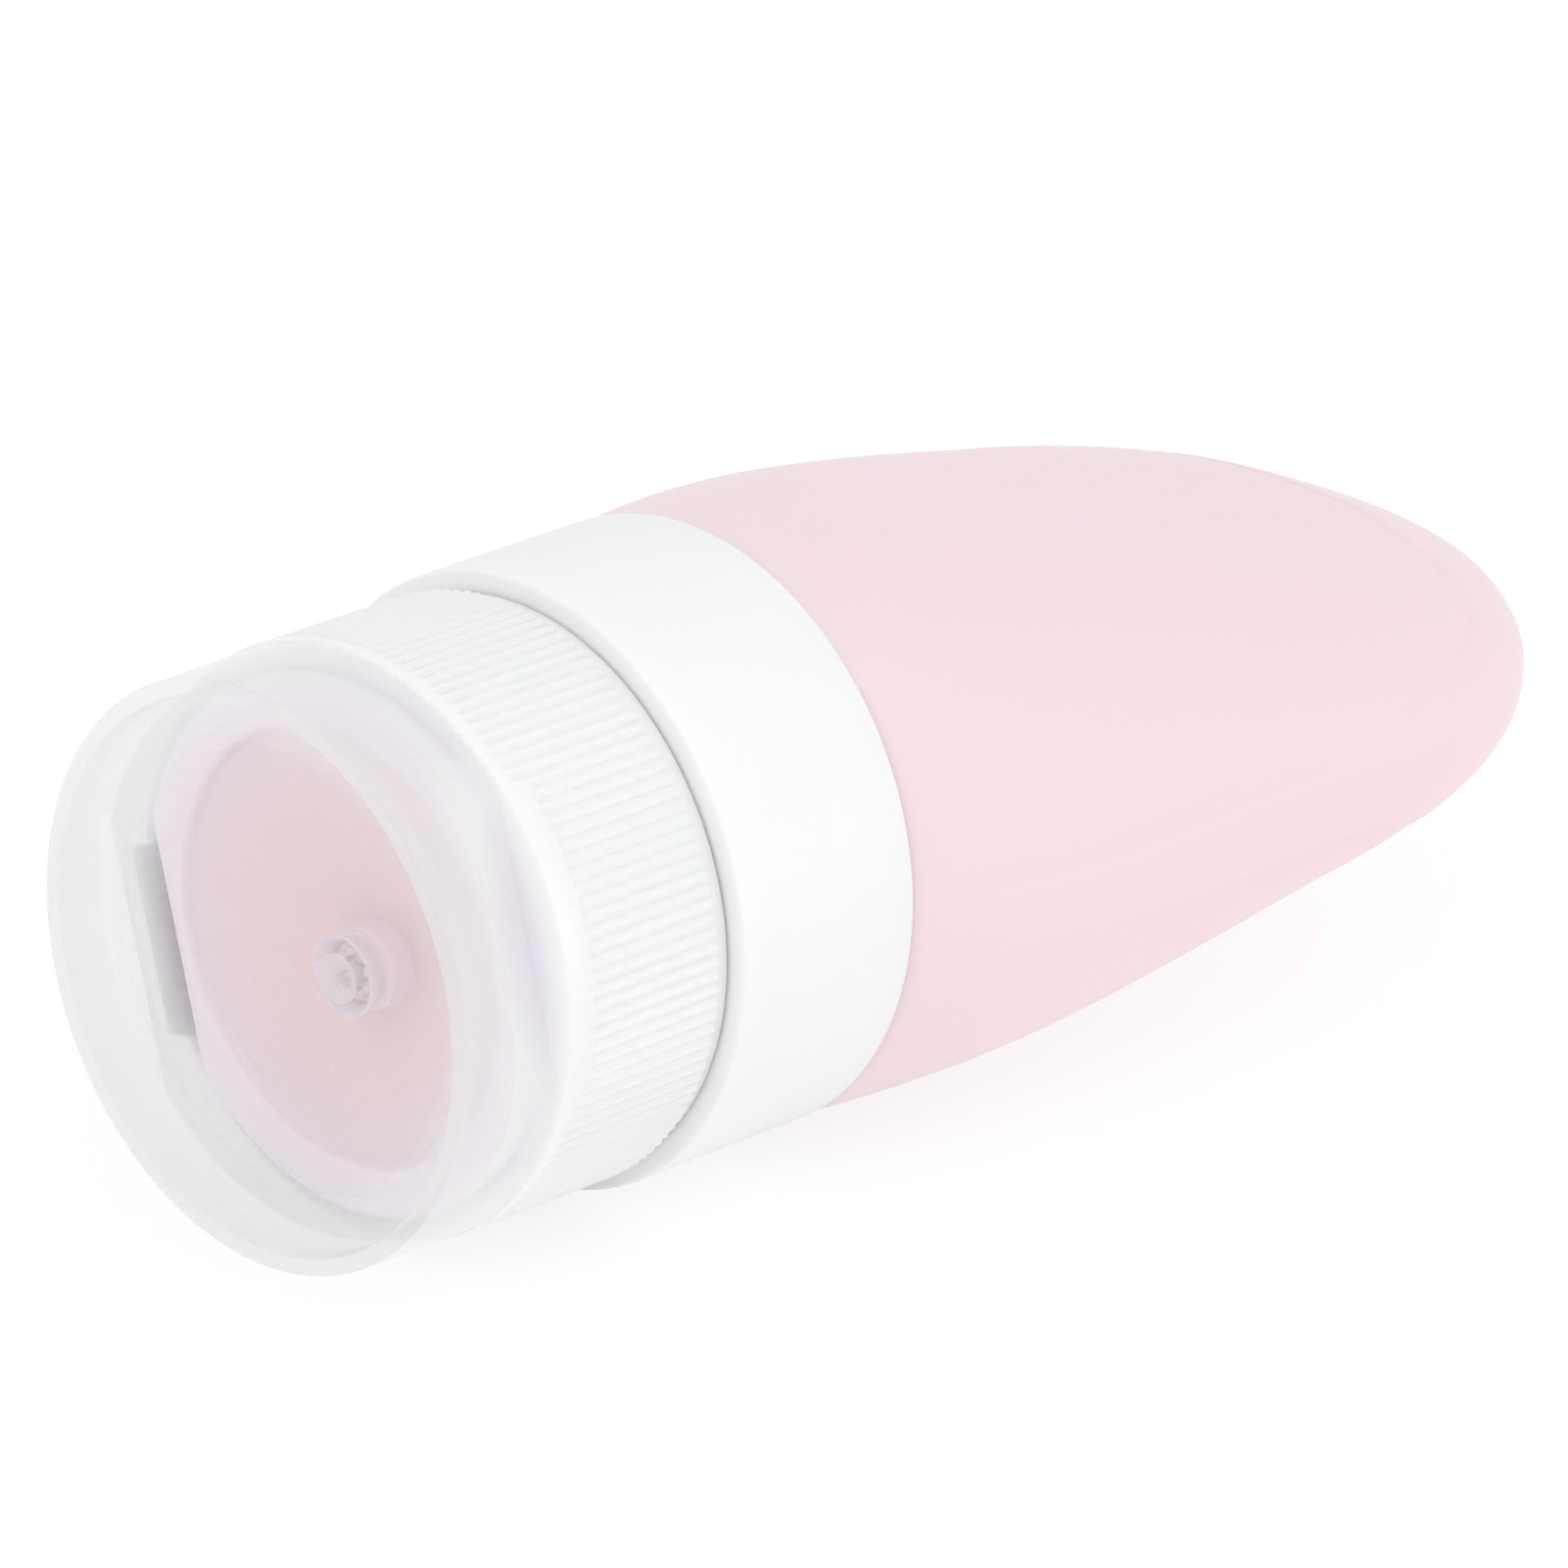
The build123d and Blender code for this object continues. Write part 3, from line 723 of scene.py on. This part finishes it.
def make_plug():
    """The pin under the closure plate that stands in the outlet."""
    outline = rounded([
        (plate_end, 0, 0),
        (plate_end, plug_foot_radius, 0.05),
        (plate_end + plug_foot_height, plug_foot_radius, 0.15),
        (plate_end + plug_foot_height, plug_pin_radius, 0.1),
        (plug_pin_end, plug_pin_radius - 0.1, 0.3),
        (plug_pin_end, 0, 0),
    ])
    return turned("plug", lambda angle: outline, plug_steps, clock=cap_clock, centre=outlet_place)


def new_material(name, **values):
    """A node material, its tree and its shader with the given socket values."""
    material = bpy.data.materials.new(name)
    material.use_nodes = True
    tree = material.node_tree
    shader = tree.nodes["Principled BSDF"]
    set_sockets(shader, values)
    return material, tree, shader


def set_sockets(node, values):
    """Sets a node's input sockets; base_color stands for the socket Base Color, and so on."""
    for name, value in values.items():
        socket = "IOR" if name == "ior" else name.replace("_", " ").title()
        node.inputs[socket].default_value = value


def add_node(tree, kind, **values):
    """A new node of a kind, with the given socket values."""
    node = tree.nodes.new("ShaderNode" + kind)
    set_sockets(node, values)
    return node


def math_node(tree, operation, *values):
    """The result of a math node whose inputs are fixed numbers or value sockets."""
    node = add_node(tree, "Math")
    node.operation = operation
    for index, value in enumerate(values):
        if isinstance(value, float):
            node.inputs[index].default_value = value
        else:
            tree.links.new(value, node.inputs[index])
    return node.outputs["Value"]


def own_coordinates(tree):
    """The piece's own coordinates, which move with it."""
    return add_node(tree, "TexCoord").outputs["Object"]


def linear(red, green, blue):
    """A colour written as 0 to 255 display values, as the linear colour that nodes use."""
    values = []
    for value in (red, green, blue):
        share = value / 255
        values.append(share / 12.92 if share <= 0.04045 else ((share + 0.055) / 1.055) ** 2.4)
    return (*values, 1.0)


def add_grain(tree, shader, scale, strength, distance):
    """A fine moulded grain, as bump from noise in the piece's own coordinates."""
    noise = add_node(tree, "TexNoise", scale=scale, detail=3.0)
    bump = add_node(tree, "Bump", strength=strength, distance=distance)
    tree.links.new(own_coordinates(tree), noise.inputs["Vector"])
    tree.links.new(noise.outputs["Fac"], bump.inputs["Height"])
    tree.links.new(bump.outputs["Normal"], shader.inputs["Normal"])


def color_from(tree, shader, source, stops):
    """The shader's colour from a colour ramp with the given stops, fed from a value socket."""
    ramp = add_node(tree, "ValToRGB")
    elements = ramp.color_ramp.elements
    while len(elements) > 1:
        elements.remove(elements[-1])
    elements[0].position, elements[0].color = stops[0]
    for position, color in stops[1:]:
        elements.new(position).color = color
    tree.links.new(source, ramp.inputs["Fac"])
    tree.links.new(ramp.outputs["Color"], shader.inputs["Base Color"])


def clouded_color(tree, shader, scale, low, high):
    """The shader's colour drifting between two tones with noise in the piece's coordinates."""
    noise = add_node(tree, "TexNoise", scale=scale)
    tree.links.new(own_coordinates(tree), noise.inputs["Vector"])
    color_from(tree, shader, noise.outputs["Fac"], [(0.3, low), (0.7, high)])


def silicone_material():
    """Pale pink silicone: soft gloss, light passing under the skin, palest at the collar."""
    material, tree, shader = new_material(
        "pink silicone", roughness=0.38, ior=1.41, subsurface_weight=0.35,
        subsurface_radius=(1.0, 0.45, 0.4), subsurface_scale=0.004, sheen_weight=0.15,
        sheen_roughness=0.5, sheen_tint=linear(240, 236, 242))
    split = add_node(tree, "SeparateXYZ")
    along = add_node(tree, "MapRange", from_min=rim_x + body_start * MM,
                     from_max=rim_x + length * MM)
    tree.links.new(own_coordinates(tree), split.inputs["Vector"])
    tree.links.new(split.outputs["X"], along.inputs["Value"])
    color_from(tree, shader, along.outputs["Result"], [
        (0.0, linear(248, 223, 226)),
        (0.14, linear(247, 222, 225)),
        (0.45, linear(247, 221, 225)),
        (1.0, linear(247, 222, 224)),
    ])
    add_grain(tree, shader, scale=900.0, strength=0.05, distance=0.0002)
    return material


def white_material():
    """The hard white plastic of the collar and the neck, with a fine satin grain."""
    material, tree, shader = new_material(
        "white plastic", roughness=0.42, subsurface_weight=0.4,
        subsurface_radius=(1.0, 1.0, 1.0), subsurface_scale=0.002)
    clouded_color(tree, shader, 60.0, linear(249, 250, 252), linear(252, 253, 254))
    add_grain(tree, shader, scale=2500.0, strength=0.08, distance=0.00012)
    return material


def reach_share(tree):
    """How far a point lies from the bottle's axis, as a share of the cap's radius."""
    split = add_node(tree, "SeparateXYZ")
    tree.links.new(own_coordinates(tree), split.inputs["Vector"])
    flat = add_node(tree, "CombineXYZ")
    tree.links.new(split.outputs["Y"], flat.inputs["X"])
    tree.links.new(math_node(tree, "SUBTRACT", split.outputs["Z"], axis_z), flat.inputs["Y"])
    reach = add_node(tree, "VectorMath")
    reach.operation = "LENGTH"
    tree.links.new(flat.outputs["Vector"], reach.inputs[0])
    return math_node(tree, "DIVIDE", reach.outputs["Value"], band_radius * MM)


def mixed(tree, share, first, second):
    """A mix of two shaders by a fixed share or by a value socket."""
    mix = add_node(tree, "MixShader")
    if isinstance(share, float):
        mix.inputs["Fac"].default_value = share
    else:
        tree.links.new(share, mix.inputs["Fac"])
    tree.links.new(first, mix.inputs[1])
    tree.links.new(second, mix.inputs[2])
    return mix.outputs["Shader"]


def let_light_through(tree, surface, lamp_share, bounce_share):
    """Gives the material its surface, which passes a share of the lamps' light and a share of
    the light that bounces about."""
    path = add_node(tree, "LightPath")
    lamps = math_node(tree, "MULTIPLY", path.outputs["Is Shadow Ray"], lamp_share)
    bounces = math_node(tree, "MULTIPLY", path.outputs["Is Diffuse Ray"], bounce_share)
    passing = math_node(tree, "MAXIMUM", lamps, bounces)
    open_way = add_node(tree, "BsdfTransparent", color=(0.98, 0.98, 0.985, 1.0))
    result = mixed(tree, passing, surface, open_way.outputs["BSDF"])
    tree.links.new(result, tree.nodes["Material Output"].inputs["Surface"])


def scoop_share(tree, strength):
    """A value that rises to the given strength in the wall of the lid's thumb notch."""
    from_rim = add_node(tree, "VectorMath")
    from_rim.operation = "SUBTRACT"
    from_rim.inputs[1].default_value = (rim_x, 0, axis_z)
    tree.links.new(own_coordinates(tree), from_rim.inputs[0])
    notch_side = (0, -math.cos(cap_clock), -math.sin(cap_clock))
    shares = []
    for direction, low, high, full in ((notch_side, 15.0, 16.4, strength),
                                       ((1, 0, 0), scoop_top - 0.2, scoop_top + 0.6, 1.0)):
        along = add_node(tree, "VectorMath")
        along.operation = "DOT_PRODUCT"
        along.inputs[1].default_value = direction
        tree.links.new(from_rim.outputs["Vector"], along.inputs[0])
        share = add_node(tree, "MapRange", from_min=low * MM, from_max=high * MM, to_max=full)
        tree.links.new(along.outputs["Value"], share.inputs["Value"])
        shares.append(share.outputs["Result"])
    return math_node(tree, "MULTIPLY", *shares)


def clear_material(name, milk_color, middle_haze, wall_haze, notch_haze=0.0, solid_share=0.0):
    """Clear moulded plastic: a bright film with glossy edges, milkier in the walls than in the
    middle, and a share of solid refraction; lamps shine through it onto the deck."""
    material, tree, shader = new_material(
        name, base_color=(0.985, 0.985, 0.99, 1.0), roughness=0.08, ior=1.42,
        transmission_weight=0.9)
    add_grain(tree, shader, scale=45.0, strength=0.03, distance=0.0001)

    # The film, which gets its gloss where its outer side is seen edge on
    film = add_node(tree, "BsdfTransparent", color=(0.985, 0.985, 0.985, 1.0))
    gloss = add_node(tree, "BsdfGlossy", color=(1.0, 1.0, 1.0, 1.0), roughness=0.12)
    facing = add_node(tree, "LayerWeight").outputs["Facing"]
    inner_side = add_node(tree, "NewGeometry").outputs["Backfacing"]
    edge_gloss = math_node(tree, "POWER", facing, 3.0)
    outer_side = math_node(tree, "SUBTRACT", 1.0, inner_side)
    outer_gloss = math_node(tree, "MULTIPLY", edge_gloss, outer_side)
    shell = mixed(tree, outer_gloss, film.outputs["BSDF"], gloss.outputs["BSDF"])

    # The milk in the plastic, mostly lit from the front and a little from behind
    lit = add_node(tree, "BsdfDiffuse", color=milk_color)
    glowing = add_node(tree, "BsdfTranslucent", color=milk_color)
    back_light_share = 0.3
    milk = mixed(tree, back_light_share, lit.outputs["BSDF"], glowing.outputs["BSDF"])
    haze = add_node(tree, "MapRange", from_min=0.68, from_max=0.82, to_min=middle_haze,
                    to_max=wall_haze)
    haze.interpolation_type = "SMOOTHSTEP"
    tree.links.new(reach_share(tree), haze.inputs["Value"])
    notch = scoop_share(tree, notch_haze)
    both_hazes = math_node(tree, "ADD", haze.outputs["Result"], notch)

    hazy = mixed(tree, both_hazes, shell, milk)
    plastic = mixed(tree, solid_share, hazy, shader.outputs["BSDF"])
    let_light_through(tree, plastic, lamp_share=1.0, bounce_share=1.0)
    return material


def frosted_material():
    """The screw cap's milky plastic, white at the wall; over the neck its colour is painted light:
    a pink glow, through lilac, that stands in for the pink body's light seen through the cap.
    """
    material, tree, shader = new_material(
        "frosted plastic", roughness=0.3, subsurface_weight=0.6,
        subsurface_radius=(1.0, 0.85, 0.9), subsurface_scale=0.003)
    # Painted light: the pink and lilac towards the axis stand in for the pink body's light shining
    # through the cap; the white at the wall is the plastic's own colour
    color_from(tree, shader, reach_share(tree), [
        (0.0, linear(254, 215, 217)),
        (0.45, linear(254, 219, 221)),
        (0.66, linear(250, 224, 231)),
        (0.74, linear(245, 230, 242)),
        (0.88, linear(246, 237, 248)),
        (0.95, linear(250, 250, 251)),
    ])
    add_grain(tree, shader, scale=1500.0, strength=0.04, distance=0.0001)
    let_light_through(tree, shader.outputs["BSDF"], lamp_share=0.7, bounce_share=0.2)
    return material


def seal_material():
    """The milky silicone of the gasket and the valve."""
    material, tree, shader = new_material("seal silicone", roughness=0.55)
    clouded_color(tree, shader, 120.0, linear(240, 238, 238), linear(245, 244, 244))
    add_grain(tree, shader, scale=800.0, strength=0.05, distance=0.0001)
    return material


def dress(pieces, material, body, slot, *nodes):
    """Gives pieces their material and body, and hides the CAD nodes they stand in for. slot: not
    used.
    """
    for piece in pieces:
        piece.data.materials.clear()
        piece.data.materials.append(material)
        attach(piece, body)
    if nodes:
        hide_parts(*nodes)


def dress_node(name, material):
    """Gives a CAD node that stays its finished material."""
    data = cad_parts[name].data
    data.materials.clear()
    data.materials.append(material)


def seen_rays(tree):
    """A value that is 1 for camera, glossy and transmission rays and 0 for the rest."""
    path = add_node(tree, "LightPath").outputs
    direct = math_node(tree, "MAXIMUM", path["Is Camera Ray"], path["Is Glossy Ray"])
    return math_node(tree, "MAXIMUM", direct, path["Is Transmission Ray"])


def make_world():
    """An even pale surround: white where it is seen, a little lower where it lights."""
    world = bpy.data.worlds.new("studio")
    bpy.context.scene.world = world
    world.use_nodes = True
    tree = world.node_tree
    background = tree.nodes["Background"]
    mix = tree.nodes.new("ShaderNodeMix")
    mix.data_type = "RGBA"
    mix.inputs["A"].default_value = (0.77, 0.77, 0.77, 1.0)
    mix.inputs["B"].default_value = (1.0, 1.0, 1.0, 1.0)
    tree.links.new(seen_rays(tree), mix.inputs["Factor"])
    tree.links.new(mix.outputs["Result"], background.inputs["Color"])
    background.inputs["Strength"].default_value = 1.0


def make_floor():
    """A wide floor: where it is seen it glows white and keeps a soft shadow, and for all other
    light it is pale paper."""
    reach = 3.0
    corners = [(-reach, -reach, 0), (reach, -reach, 0), (reach, reach, 0), (-reach, reach, 0)]
    data = bpy.data.meshes.new("floor")
    data.from_pydata(corners, [], [(0, 1, 2, 3)])
    floor = bpy.data.objects.new("floor", data)
    bpy.context.scene.collection.objects.link(floor)
    material = bpy.data.materials.new("floor")
    material.use_nodes = True
    tree = material.node_tree
    tree.nodes.clear()
    output = add_node(tree, "OutputMaterial")
    sides = []
    unseen, seen = (0.92, 0.12), (0.25, 0.79)
    for shade, glow_strength in (unseen, seen):
        diffuse = add_node(tree, "BsdfDiffuse", color=(shade, shade, shade, 1.0))
        glow = add_node(tree, "Emission", strength=glow_strength)
        both = add_node(tree, "AddShader")
        tree.links.new(diffuse.outputs["BSDF"], both.inputs[0])
        tree.links.new(glow.outputs["Emission"], both.inputs[1])
        sides.append(both.outputs["Shader"])
    result = mixed(tree, seen_rays(tree), *sides)
    tree.links.new(result, output.inputs["Surface"])
    data.materials.append(material)


def area_light(name, location, target, size, power):
    """A soft square lamp aimed at a point."""
    data = bpy.data.lights.new(name, "AREA")
    data.size = size
    data.energy = power
    lamp = bpy.data.objects.new(name, data)
    lamp.location = location
    direction = Vector(target) - Vector(location)
    lamp.rotation_mode = "QUATERNION"
    lamp.rotation_quaternion = direction.to_track_quat("-Z", "Y")
    bpy.context.scene.collection.objects.link(lamp)


def make_lights():
    """A broad key from above on the camera's side, a weaker fill from the lid's end, and a low
    lamp that lifts the side near the camera."""
    middle = (0, 0, axis_z)
    area_light("key", (0.12, -0.45, 0.7), middle, size=0.6, power=0.9)
    area_light("fill", (-0.5, -0.1, 0.5), middle, size=0.5, power=0.6)
    area_light("low", (0.35, -0.6, 0.05), middle, size=0.5, power=0.6)


def make_camera():
    """The photograph's view: near the cap's end, looking down along the bottle."""
    right = Vector((0.706438, -0.702755, 0.084141))
    up = Vector((0.255693, 0.364253, 0.895512))
    turn = Matrix((right, up, right.cross(up))).transposed()
    from_rim = Vector((-387.6, -403.8, 288.9))
    focal_pixels, frame_pixels = 10001, 1601
    data = bpy.data.cameras.new("camera")
    data.sensor_width = 36.0
    data.lens = data.sensor_width * focal_pixels / frame_pixels
    data.clip_start = 0.01
    data.clip_end = 10.0
    camera = bpy.data.objects.new("camera", data)
    rim_centre = Vector((rim_x, 0, axis_z))
    camera.matrix_world = Matrix.Translation(rim_centre + from_rim * MM) @ turn.to_4x4()
    bpy.context.scene.collection.objects.link(camera)
    bpy.context.scene.camera = camera


silicone = silicone_material()
white = white_material()
clear = clear_material("clear plastic", linear(248, 248, 249), middle_haze=0.02,
                       wall_haze=0.32, notch_haze=0.35, solid_share=0.03)
outlet_clear = clear_material("outlet plastic", linear(253, 241, 247), 0.86, 0.86)
hinge_clear = clear_material("hinge plastic", linear(251, 251, 252), 0.7, 0.7)
plug_clear = clear_material("plug plastic", linear(252, 246, 248), 0.7, 0.7)
frosted = frosted_material()
seal = seal_material()

dress([make_body()], silicone, "bottle", "pink_silicone", "silicone_body")
dress([make_collar()], white, "bottle", "white_plastic", "collar_ring")
lid_shell, *lid_hinge = make_lid()
dress([lid_shell], clear, "lid", "clear_plastic", "flip_lid")
dress(lid_hinge, hinge_clear, "lid", "clear_plastic")
dress([make_plug()], plug_clear, "lid", "clear_plastic", "lid_plug")
dress(make_base(), frosted, "cap", "frosted_plastic", "cap_base")
dress([make_outlet(), make_crown()], outlet_clear, "cap", "clear_plastic", "outlet_nozzle")
dress_node("neck_insert", white)
dress_node("valve_retainer", white)
dress_node("sealing_gasket", seal)
dress_node("slit_valve", seal)
dress_node("hinge_pin", hinge_clear)

make_world()
make_floor()
make_lights()
make_camera()
bpy.context.scene.view_settings.view_transform = "Standard"
